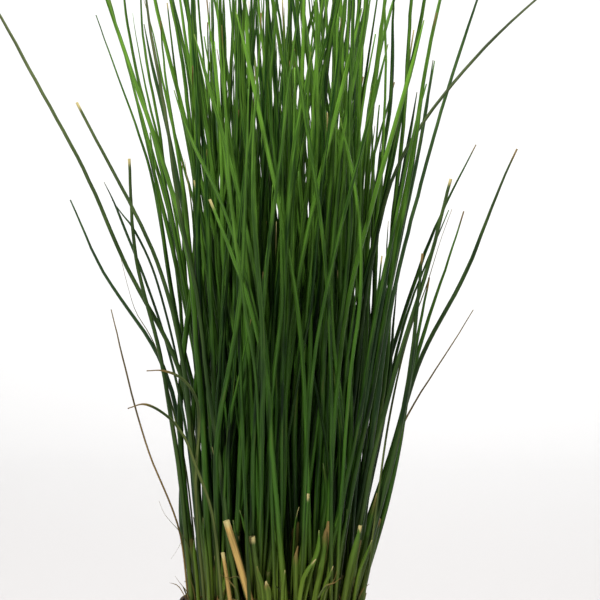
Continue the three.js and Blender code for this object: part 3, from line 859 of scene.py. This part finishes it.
WISPS = (
    # route in pixels, depth, half width
    (((121, 259), (128, 287), (136, 312), (147, 330), (156, 348), (170, 398), (186, 470), (200, 600)),
     -12, 0.45),
    (((159, 501), (164, 513), (171, 522), (183, 536), (192, 560), (199, 600)), -20, 0.26),
    (((171, 559), (176, 552), (184, 540), (191, 553), (200, 600)), -24, 0.18),
    (((175, 576), (180, 583), (187, 592), (193, 604)), -22, 0.22),
    (((452, 209), (441, 239), (427, 284), (407, 340), (389, 420), (375, 520), (362, 600)), -30, 0.55),
    (((369, 584), (362, 591), (354, 602)), -30, 0.55),
    (((341, 578), (334, 583), (326, 586), (318, 598)), -49, 0.5),
    (((337, 571), (334, 580), (327, 590), (322, 600)), -48, 0.4),
    (((219, 574), (228, 578), (238, 577), (246, 598)), -44, 0.4),
    (((226, 570), (229, 580), (236, 590), (240, 600)), -46, 0.45),
)
SIDE_STEMS = (
    (((112, 200), (122, 214), (131, 225), (150, 262), (165, 310), (181, 380), (196, 480), (206, 600)),
     4, 0.6),
    (((104, 182), (113, 200), (126, 232), (146, 282), (166, 342), (186, 430), (203, 600)), -16, 0.65),
    (((433, 60), (428, 96), (419, 150), (402, 232), (380, 350), (356, 600)), 12, 0.9),
    (((144, 24), (151, 60), (163, 110), (178, 180), (196, 300), (212, 440), (222, 600)), 20, 0.9),
    (((417, 92), (411, 128), (400, 190), (384, 290), (362, 430), (346, 600)), -10, 0.9),
)
CROSSING_STEMS = (
    (((311, 52), (306, 85), (297, 130), (290, 190), (284, 300), (280, 600)), -42, 1.25),
    (((174, 90), (183, 118), (196, 150), (214, 186), (238, 250), (262, 350), (276, 600)), -46, 0.85),
    (((424, 20), (411, 70), (395, 125), (371, 210), (345, 320), (322, 600)), -35, 1.1),
    (((236, 12), (248, 60), (263, 130), (282, 220), (300, 330), (312, 600)), -40, 1.05),
    (((362, 8), (347, 70), (327, 150), (306, 240), (289, 340), (279, 600)), -37, 1.15),
    (((388, 44), (374, 100), (353, 180), (331, 270), (313, 370), (300, 600)), -45, 0.95),
    (((194, 34), (213, 100), (235, 180), (254, 270), (268, 360), (276, 600)), -38, 1.05),
    (((292, 40), (301, 90), (312, 160), (323, 240), (330, 340), (331, 600)), -43, 1),
    (((258, 84), (252, 130), (243, 190), (238, 260), (240, 350), (250, 600)), -45, 1),
    (((340, 118), (352, 170), (360, 230), (360, 300), (350, 380), (334, 600)), -40, 0.95),
)
THIN_POINTS = 44


def foot_blades():
    """Short pointed blades that stand round the clump's foot at the front."""
    tubes = TubeMesh()
    share = np.linspace(0, 1, FOOT_BLADE_POINTS)
    for route, depth, half_width, tone, dryness, paleness in FOOT_BLADES:
        points = [at_pixel(px, py, depth) for px, py in route][::-1]
        points[0][2] = UNDER_SOIL
        centres = catmull_rom(points, FOOT_BLADE_POINTS)
        width = tapered(share, length=0.22, tip_width=0.2, overrun=0.03)
        dry = dryness * eased(share, 0.55, 0.95)
        pale = paleness * eased(share, 0.8, 1.0)
        tubes.add(centres, half_width * width / MM_PER_METRE, tone, dry, pale, flat=0.6)
    tubes.build("foot_blades", "stem_green")


def drawn_from_pixels(name, slot, drawn, taper, tones, dryness, splay):
    """Stems along routes in pixels. They lean away from the middle by the splay as they rise."""
    tubes = TubeMesh()
    share = np.linspace(0, 1, THIN_POINTS)
    for route, depth, half_width in drawn:
        points = [at_pixel(px, py, depth * (1 + splay * (1 - py / PHOTO_PIXELS))) for px, py in route]
        if route[-1][1] >= PHOTO_PIXELS:
            points[-1][2] = min(points[-1][2], UNDER_SOIL)
        centres = catmull_rom(points[::-1], THIN_POINTS)
        width = tapered(share, taper, tip_width=0.25, overrun=0.03)
        dry = dryness * share + 0.5 * near_tip(centres, reach=0.012)
        tubes.add(centres, half_width * width / MM_PER_METRE, dice.uniform(*tones), dry, sides=6)
    tubes.build(name, slot)


def thin_growth():
    """Hair-thin dead stems, and thin living ones at the sides and across the front."""
    drawn_from_pixels("hair_thin_wisps", "stem_dry_brown", WISPS,
                      taper=0.5, tones=(0.2, 0.4), dryness=0.6, splay=0.0)
    drawn_from_pixels("thin_side_stems", "stem_dark_green", SIDE_STEMS,
                      taper=0.12, tones=(0.1, 0.7), dryness=0.0, splay=0.4)
    drawn_from_pixels("thin_crossing_stems", "stem_green", CROSSING_STEMS,
                      taper=0.12, tones=(0.3, 1.0), dryness=0.0, splay=0.7)


# Litter on the soil, gathered among the feet of the stems

CLUMP_RADIUS = 0.045
SCRAPS = 300
SCRAP_POINTS = 7
ROOTS = 70
ROOT_POINTS = 9
SOIL_GRAINS = 420
SOIL_GRAIN_SIZES = (0.0005, 0.0017)
PERLITE_GRAINS = 60
PERLITE_SIZES = (0.0005, 0.0014)


def random_heading():
    angle = dice.uniform(0, math.tau)
    return np.array([math.cos(angle), math.sin(angle), 0.0])


def spot_among_feet():
    """x and y of a place in the clump, more often near its edge, where litter gathers."""
    reach = CLUMP_RADIUS * dice.random() ** 0.4
    heading = random_heading()
    return reach * heading[0], reach * heading[1]


def sheath_scraps():
    """Scraps of dead sheath that lean every way."""
    tubes = TubeMesh()
    share = np.linspace(0, 1, SCRAP_POINTS)
    for _ in range(SCRAPS):
        x, y = spot_among_feet()
        foot = np.array([x, y, soil_high.z + dice.uniform(-0.001, 0.003)])
        heading = random_heading()
        length = dice.uniform(0.004, 0.015)
        upright = dice.uniform(0.35, 0.97)
        top = foot + UP * length * upright + heading * length * math.sqrt(1 - upright * upright)
        bow = UP * dice.uniform(-0.1, 0.25) * length
        sunk = foot - UP * 0.001
        centres = catmull_rom([sunk, (foot + top) / 2 + bow, top], SCRAP_POINTS)
        radii = dice.uniform(0.0004, 0.0012) * tapered(share, length=0.5, tip_width=0.15, overrun=0.05)
        tone, dry, pale = dice.random() ** 2, dice.uniform(0.1, 1.0), dice.random() ** 4
        tubes.add(centres, radii, tone, dry, pale, sides=6, flat=0.35)
    tubes.build("dead_sheath_scraps", "stem_dry_brown")


def surface_roots():
    """Fine roots that come out of the soil and go back in."""
    tubes = TubeMesh()
    for _ in range(ROOTS):
        x, y = spot_among_feet()
        start = np.array([x, y, UNDER_SOIL])
        heading = random_heading()
        ahead = heading * dice.uniform(0.006, 0.016)
        arch = start + ahead / 2 + UP * dice.uniform(0.002, 0.007)
        centres = catmull_rom([start, arch, start + ahead], ROOT_POINTS)
        radius, tone, pale = dice.uniform(0.0001, 0.00035), dice.random(), dice.random() ** 3
        tubes.add(centres, radius, tone, dry=0.75, pale=pale, sides=5)
    tubes.build("surface_roots", "stem_dry_brown")


def add_grain(bm, place, size):
    """A stretched, uneven lump."""
    made = bmesh.ops.create_icosphere(bm, subdivisions=1, radius=size)
    stretch = [dice.uniform(0.6, 1.4) for _ in range(3)]
    for vertex in made["verts"]:
        rough = 1 + 0.35 * noise.noise(vertex.co * (1.6 / size) + place * 900)
        vertex.co = Vector([c * s * rough for c, s in zip(vertex.co, stretch)]) + place


def grains(name, count, sizes, material):
    """Separate lumps lying on the soil, in one mesh."""
    bm = bmesh.new()
    for _ in range(count):
        spread = SOIL_RADIUS * 0.97 * math.sqrt(dice.random())
        angle = dice.uniform(0, math.tau)
        size = dice.uniform(*sizes)
        x, y = spread * math.cos(angle), spread * math.sin(angle)
        height = soil_height(x, y) + size * dice.uniform(-0.2, 0.5)
        add_grain(bm, Vector((x, y, height)), size)
    mesh = bpy.data.meshes.new(name)
    bm.to_mesh(mesh)
    bm.free()
    mesh.materials.append(material)
    finished_piece(name, mesh)


# Soil

SOIL_RADIUS = (soil_high.x - soil_low.x) / 2
SOIL_FLAT_RADIUS = 0.045
SOIL_SHOULDER = 0.0072
SOIL_SHOULDER_CURVE = 1.2
SOIL_SKIRT = 0.03
SOIL_SKIRT_TAPER = 0.15
SOIL_RINGS = 60
SOIL_SIDES = 120
LUMP_HEIGHT = 0.0013

# Each size of lump: the noise's scale, its share of the height, and the noise's layer
LUMPS = ((130, 1.0, 1.7), (380, 0.6, 4.1), (900, 0.35, 7.3))


def soil_height(x, y):
    """The uneven surface, which falls away towards the pot's wall."""
    beyond = (math.hypot(x, y) - SOIL_FLAT_RADIUS) / (SOIL_RADIUS - SOIL_FLAT_RADIUS)
    shoulder = min(max(beyond, 0), 1)
    lump = sum(share * noise.noise(Vector((x * scale, y * scale, layer))) for scale, share, layer in LUMPS)
    return soil_high.z - SOIL_SHOULDER * shoulder**SOIL_SHOULDER_CURVE + LUMP_HEIGHT * lump


def dressed_soil():
    """The soil's surface in rings from its middle, with a skirt that goes down inside the pot."""
    angles = [math.tau * s / SOIL_SIDES for s in range(SOIL_SIDES)]
    corners = [(0.0, 0.0, soil_height(0.0, 0.0))]
    for ring in range(1, SOIL_RINGS + 1):
        reach = SOIL_RADIUS * ring / SOIL_RINGS
        for angle in angles:
            x, y = reach * math.cos(angle), reach * math.sin(angle)
            corners.append((x, y, soil_height(x, y)))
    skirt_radius = SOIL_RADIUS - SOIL_SKIRT * SOIL_SKIRT_TAPER
    skirt_foot = soil_high.z - SOIL_SKIRT
    corners += [(skirt_radius * math.cos(a), skirt_radius * math.sin(a), skirt_foot) for a in angles]
    faces = [(0, 1 + s, 1 + (s + 1) % SOIL_SIDES) for s in range(SOIL_SIDES)]
    for ring in range(SOIL_RINGS):
        inner = 1 + ring * SOIL_SIDES
        outer = inner + SOIL_SIDES
        for s in range(SOIL_SIDES):
            after = (s + 1) % SOIL_SIDES
            faces.append((inner + s, outer + s, outer + after, inner + after))
    underside = 1 + SOIL_RINGS * SOIL_SIDES
    faces.append(tuple(underside + s for s in range(SOIL_SIDES))[::-1])
    mesh = smooth_mesh("soil_surface", corners, faces, MATERIALS["potting_soil"])
    piece = finished_piece("soil_surface", mesh)
    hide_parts("soil")


# Pot

POT_SIDES = 144
POT_BASE_RADIUS = 0.041
POT_WALL = 0.0018
POT_BAND_OVERHANG = 0.0022
POT_BAND_HEIGHT = 0.011
POT_BAND_GAP = 0.0026
POT_RIBS = 24
POT_RIB_DEPTH = 0.00045
POT_RIB_SHARPNESS = 6
POT_EDGE_ANGLE = math.radians(35)
DRAIN_HOLES = 6
DRAIN_HOLE_RADIUS = 0.004
DRAIN_HOLE_SIDES = 28
DRAIN_RING_RADIUS = 0.029
DRAIN_CUT_DEPTH = 0.012

# The rounded parts of the pot's section, as (outwards, up) from the corner that each is at
POT_FOOT = ((-0.006, 0.0009), (-0.0052, 0.0), (-0.0014, 0.0), (-0.0004, 0.0005), (0.0001, 0.0016))
BAND_UNDERSIDE = ((0.0003, -0.0012), (0.0013, -0.0004))
BAND_LOWER = ((-0.0005, 0.0004), (-0.00025, 0.0016), (-0.0005, 0.0055))
BAND_UPPER = ((-0.0002, -0.0022), (0.0, -0.0014), (-0.0003, -0.0006), (-0.0011, 0.0))
POT_LIP = ((0.0008, 0.0), (0.0002, -0.0004), (0.0, -0.0012))


def section_corner(radius, height, offsets):
    """A rounded part of a section at its corner."""
    return [(radius + outwards, height + up) for outwards, up in offsets]


def section_wall(start, end, shares):
    """Points on the straight line between two of a section's corners."""
    return [(start[0] + (end[0] - start[0]) * t, start[1] + (end[1] - start[1]) * t) for t in shares]


def pot_profile():
    """The pot's section as (radius, height), from the underside round to the floor inside, and where its
    outer wall starts and ends in it."""
    rim = pot_high.x
    height = pot_high.z
    under_band = rim - POT_BAND_OVERHANG
    band_foot = height - POT_BAND_HEIGHT
    inner_rim = under_band - POT_WALL
    inner_base = POT_BASE_RADIUS - POT_WALL
    foot_top = POT_FOOT[-1][1]
    lip_foot = height + POT_LIP[-1][1]
    foot = section_corner(POT_BASE_RADIUS, 0.0, POT_FOOT)
    wall_top = (under_band, band_foot - POT_BAND_GAP)
    wall = section_wall((POT_BASE_RADIUS, foot_top), wall_top, np.linspace(0.06, 1.0, 16))
    band = section_corner(under_band, band_foot, BAND_UNDERSIDE)
    band += section_corner(rim, band_foot, BAND_LOWER)
    band += section_corner(rim, height, BAND_UPPER)
    inside = section_corner(inner_rim, height, POT_LIP)
    inside += section_wall((inner_base, POT_WALL), (inner_rim, lip_foot), np.linspace(0.92, 0.0, 10))
    return foot + wall + band + inside, len(foot), len(foot) + len(wall)


def pot_blank():
    """The closed mesh of the pot before its drain holes are cut. Shallow grooves run up its outer wall."""
    profile, wall_start, wall_end = pot_profile()
    corners = []
    for k, (radius, z) in enumerate(profile):
        fade = 0.0
        if wall_start <= k < wall_end:
            fade = math.sqrt(math.sin(math.pi * (k - wall_start) / (wall_end - wall_start)))
        for s in range(POT_SIDES):
            angle = math.tau * s / POT_SIDES
            groove = POT_RIB_DEPTH * fade * max(0.0, math.cos(angle * POT_RIBS)) ** POT_RIB_SHARPNESS
            reach = radius - groove
            corners.append((reach * math.cos(angle), reach * math.sin(angle), z))
    faces = []
    for k in range(len(profile) - 1):
        low = k * POT_SIDES
        high = low + POT_SIDES
        for s in range(POT_SIDES):
            after = (s + 1) % POT_SIDES
            faces.append((low + s, low + after, high + after, high + s))
    last = (len(profile) - 1) * POT_SIDES
    faces.append(tuple(range(POT_SIDES))[::-1])
    faces.append(tuple(last + s for s in range(POT_SIDES)))
    mesh = bpy.data.meshes.new("plastic_pot_blank")
    mesh.from_pydata(corners, [], faces)
    return linked("plastic_pot_blank", mesh)


def drain_cutter():
    """Upright cylinders where the drain holes are."""
    bm = bmesh.new()
    for i in range(DRAIN_HOLES):
        angle = math.tau * i / DRAIN_HOLES
        centre = (DRAIN_RING_RADIUS * math.cos(angle), DRAIN_RING_RADIUS * math.sin(angle), 0.0)
        bmesh.ops.create_cone(bm, cap_ends=True, segments=DRAIN_HOLE_SIDES, radius1=DRAIN_HOLE_RADIUS,
                              radius2=DRAIN_HOLE_RADIUS, depth=DRAIN_CUT_DEPTH,
                              matrix=Matrix.Translation(centre))
    mesh = bpy.data.meshes.new("drain_holes")
    bm.to_mesh(mesh)
    bm.free()
    return linked("drain_holes", mesh)


def dressed_pot():
    """The pot with its drain holes cut."""
    blank = pot_blank()
    cutter = drain_cutter()
    cut = blank.modifiers.new("drain", "BOOLEAN")
    cut.object = cutter
    cut.solver = "EXACT"
    bpy.context.view_layer.update()
    evaluated = blank.evaluated_get(bpy.context.evaluated_depsgraph_get())
    done = bpy.data.meshes.new_from_object(evaluated)
    bpy.data.objects.remove(blank)
    bpy.data.objects.remove(cutter)
    done.name = "plastic_pot"
    done.materials.clear()
    done.materials.append(MATERIALS["pot_plastic"])
    done.polygons.foreach_set("use_smooth", [True] * len(done.polygons))
    done.set_sharp_from_angle(angle=POT_EDGE_ANGLE)
    pot = finished_piece("plastic_pot", done)
    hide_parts("pot")


# The stage

# The sweep's colour holds painted shade: it is darker towards the plant and at the left, where the lamps'
# light falls off, and pale where it rises behind.
SWEEP_PAINTED_SHADE = colour(0.424, 0.412, 0.409)
SWEEP_HIGH = colour(0.690, 0.690, 0.690)
SWEEP_SHADE_FADE = (0.3, 3.2)
SWEEP_SHADE_SIDE_SHIFT = 0.3
SWEEP_HALF_WIDTH = 2.5
SWEEP_FRONT = -2.4
SWEEP_BACK = 2.5
SWEEP_BEND = 0.8
SWEEP_TOP = 3.4
BEND_ANGLES = np.linspace(0.1, math.pi / 2, 16)
PLANT_MIDDLE = (0.0, 0.0, 0.25)
WORLD_STRENGTH = 0.20

# Each light's name, place, aim, size and power
LIGHTS = (
    ("key", (-0.8, -1.3, 1.6), PLANT_MIDDLE, 0.4, 50),
    ("fill", (1.4, -1.2, 0.9), PLANT_MIDDLE, 0.6, 14),
    ("top", (0.1, 0.1, 1.9), PLANT_MIDDLE, 0.6, 26),
    ("backdrop", (0.0, 1.2, 2.6), (0.0, 2.5, 1.1), 1.6, 62),
)


def add_camera():
    data = bpy.data.cameras.new("camera")
    data.sensor_width = SENSOR_WIDTH
    data.lens = SENSOR_WIDTH * CAMERA_DISTANCE / (PHOTO_PIXELS * METRES_PER_PIXEL)
    camera = linked("camera", data)
    camera.location = CAMERA_PLACE
    camera.rotation_mode = "QUATERNION"
    camera.rotation_quaternion = (-VIEW_BACK).to_track_quat("-Z", "Y")
    bpy.context.scene.camera = camera


def sweep_material():
    """A pale sweep with painted shade: greyer near the plant, and at the left, than where it rises behind.
    """
    material, tree, shader = new_material("sweep")
    parts = node(tree, "ShaderNodeSeparateXYZ", {"Vector": scene_place(tree)}).outputs
    away = maths(tree, "ADD", parts["Y"], parts["Z"])
    away = maths(tree, "ADD", away, maths(tree, "MULTIPLY", parts["X"], SWEEP_SHADE_SIDE_SHIFT))
    # Painted shade: the sweep's colour darkens towards the plant and to the left.
    surface = blend(tree, ramp(tree, away, *SWEEP_SHADE_FADE), SWEEP_PAINTED_SHADE, SWEEP_HIGH)
    tree.links.new(surface, shader.inputs["Base Color"])
    shader.inputs["Roughness"].default_value = 0.9
    return material


def add_stage():
    """A floor that curves up into a backdrop behind the plant."""
    bend_start = SWEEP_BACK - SWEEP_BEND
    profile = [(SWEEP_FRONT, 0.0), (bend_start, 0.0)]
    profile += [(bend_start + SWEEP_BEND * math.sin(a), SWEEP_BEND - SWEEP_BEND * math.cos(a))
                for a in BEND_ANGLES]
    profile += [(SWEEP_BACK, SWEEP_TOP)]
    corners = [(x, y, z) for y, z in profile for x in (-SWEEP_HALF_WIDTH, SWEEP_HALF_WIDTH)]
    faces = [(2 * i, 2 * i + 1, 2 * i + 3, 2 * i + 2) for i in range(len(profile) - 1)]
    sweep = linked("sweep", smooth_mesh("sweep", corners, faces, sweep_material()))


def add_light(name, place, aim, size, power):
    data = bpy.data.lights.new(name, "AREA")
    data.shape = "DISK"
    data.size = size
    data.energy = power
    light = linked(name, data)
    light.location = place
    light.rotation_mode = "QUATERNION"
    light.rotation_quaternion = (Vector(aim) - Vector(place)).to_track_quat("-Z", "Y")


def add_lights():
    for light in LIGHTS:
        add_light(*light)
    world = bpy.data.worlds.new("studio")
    world.use_nodes = True
    background = world.node_tree.nodes["Background"]
    background.inputs["Color"].default_value = colour(1.0, 1.0, 1.0)
    background.inputs["Strength"].default_value = WORLD_STRENGTH
    bpy.context.scene.world = world
    bpy.context.scene.view_settings.view_transform = "Standard"


for name in routes:
    if name.startswith(CROWN_NODE_PREFIX):
        dressed_tuft(name)
    else:
        dressed_single(name)
for name in BENT_LEAF_ROUTES:
    dressed_leaf(name)
foot_blades()
thin_growth()
sheath_scraps()
surface_roots()
dressed_soil()
grains("soil_grains", SOIL_GRAINS, SOIL_GRAIN_SIZES, MATERIALS["potting_soil"])
grains("perlite_specks", PERLITE_GRAINS, PERLITE_SIZES, MATERIALS["perlite"])
dressed_pot()
add_camera()
add_stage()
add_lights()
